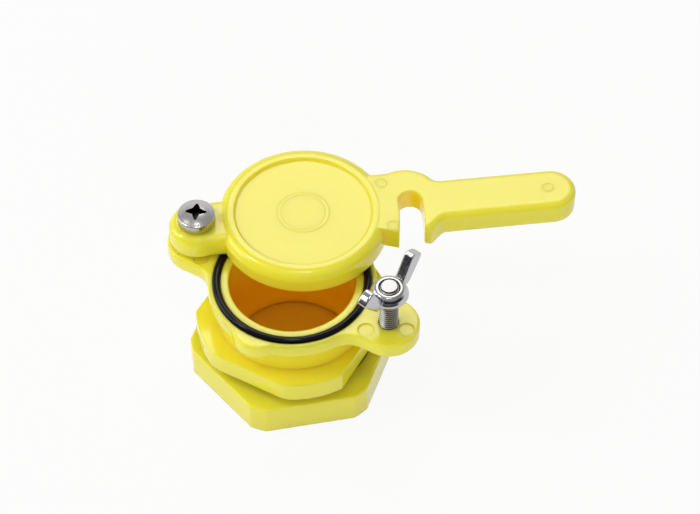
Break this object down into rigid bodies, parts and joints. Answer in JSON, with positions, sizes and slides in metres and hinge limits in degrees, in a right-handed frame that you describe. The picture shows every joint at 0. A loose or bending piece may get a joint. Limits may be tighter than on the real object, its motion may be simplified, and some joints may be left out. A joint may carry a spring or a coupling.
{
  "type": "honey gate valve",
  "caption": "Plastic honey gate valve: a swinging plate with a handle turns on a pivot screw over a round passage, and a wing nut on a stud clamps it shut.",
  "frame": {"origin": "on the axis of the honey passage, in the end face of the spigot and nut on which the valve stands", "axes": "+Z along the passage towards the seat and the swinging plate; +X from the passage to the clamp stud; the pivot is on the -X side"},
  "size_m": [0.1094, 0.1068, 0.0611],
  "materials": {
    "yellow_plastic": "glossy moulded nylon, slightly translucent",
    "black_rubber": "smooth, slight sheen",
    "polished_steel": "polished",
    "plain_steel": "bright zinc or stainless, rolled thread"
  },
  "bodies": {
    "body": {"valve_body": "yellow_plastic", "o_ring": "black_rubber", "sealing_gasket": "black_rubber", "pivot_washer": "plain_steel", "pivot_screw": "polished_steel", "pivot_nut": "plain_steel", "clamp_washer": "plain_steel", "clamp_bolt": "plain_steel"},
    "gate": {"gate_plate": "yellow_plastic"},
    "big_nut": {"mounting_nut": "yellow_plastic"},
    "wing": {"wing_nut": "polished_steel"}
  },
  "joints": [
    {"name": "gate_swing", "type": "hinge", "parent": "body", "child": "gate", "pos_m": [-0.0344, 0, 0.0424], "axis": [0, 0, 1], "range_deg": [-35.7, 300]},
    {"name": "big_nut_turn", "type": "hinge", "parent": "body", "child": "big_nut", "pos_m": [0, 0, 0.00575], "axis": [0, 0, 1], "continuous": true},
    {"name": "wing_nut_turn", "type": "hinge", "parent": "body", "child": "wing", "pos_m": [0.0343, 0, 0.052], "axis": [0, 0, 1], "continuous": true}
  ]
}
